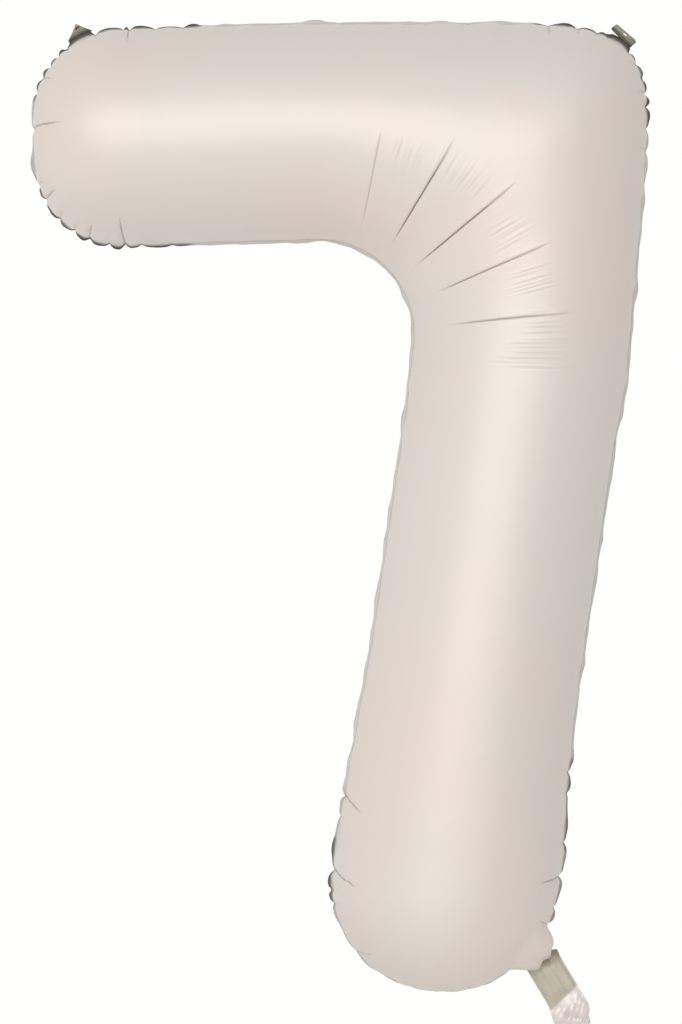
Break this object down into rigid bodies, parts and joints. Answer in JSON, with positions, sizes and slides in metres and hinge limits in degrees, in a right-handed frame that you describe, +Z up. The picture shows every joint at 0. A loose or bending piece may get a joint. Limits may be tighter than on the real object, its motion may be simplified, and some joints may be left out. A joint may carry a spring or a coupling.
{
  "type": "foil number balloon",
  "caption": "Inflated satin foil balloon shaped as the digit seven, with a sealed edge, hanging tabs with round holes, and a folded filling neck that holds a flat film valve.",
  "frame": {"origin": "centre of the bounding box, in the plane of the sealed edge", "axes": "+Z up along the height of the digit, +X to the reader's right, the readable front faces -Y"},
  "size_m": [0.5522, 0.21, 0.9103],
  "materials": {
    "satin_foil": "satin metallised film, warm cream",
    "film_edge": "satin metallised film seen in shade, grey beige",
    "clear_film": "thin clear plastic film"
  },
  "bodies": {
    "body": {"front_panel": "satin_foil", "back_panel": "satin_foil", "valve_tongue_front": "clear_film", "valve_tongue_back": "clear_film"},
    "left_tab": {"left_tab_front": "film_edge", "left_tab_back": "film_edge"},
    "right_tab": {"right_tab_front": "film_edge", "right_tab_back": "film_edge"},
    "neck": {"neck_front": "film_edge", "neck_back": "film_edge", "valve_sleeve_front": "clear_film", "valve_sleeve_back": "clear_film"},
    "neck_end": {"neck_end_front": "satin_foil", "neck_end_back": "satin_foil", "valve_lip_front": "clear_film", "valve_lip_back": "clear_film"}
  },
  "joints": [
    {"name": "left_tab_fold", "type": "hinge", "parent": "body", "child": "left_tab", "pos_m": [-0.23215, 0, 0.43629], "axis": [0.891, 0, 0.454], "range_deg": [-24, 136], "stiffness_Nm_per_rad": 0.0001},
    {"name": "right_tab_fold", "type": "hinge", "parent": "body", "child": "right_tab", "pos_m": [0.24881, 0, 0.43416], "axis": [0.7009, 0, -0.7133], "range_deg": [-16, 144], "stiffness_Nm_per_rad": 0.0001},
    {"name": "neck_fold", "type": "hinge", "parent": "body", "child": "neck", "pos_m": [0.17062, 0, -0.37763], "axis": [-0.5948, 0, -0.8039], "range_deg": [-75, 15]},
    {"name": "neck_end_fold", "type": "hinge", "parent": "neck", "child": "neck_end", "pos_m": [0.19637, 0, -0.42049], "axis": [-0.8572, 0, -0.515], "range_deg": [-75, 75]}
  ]
}
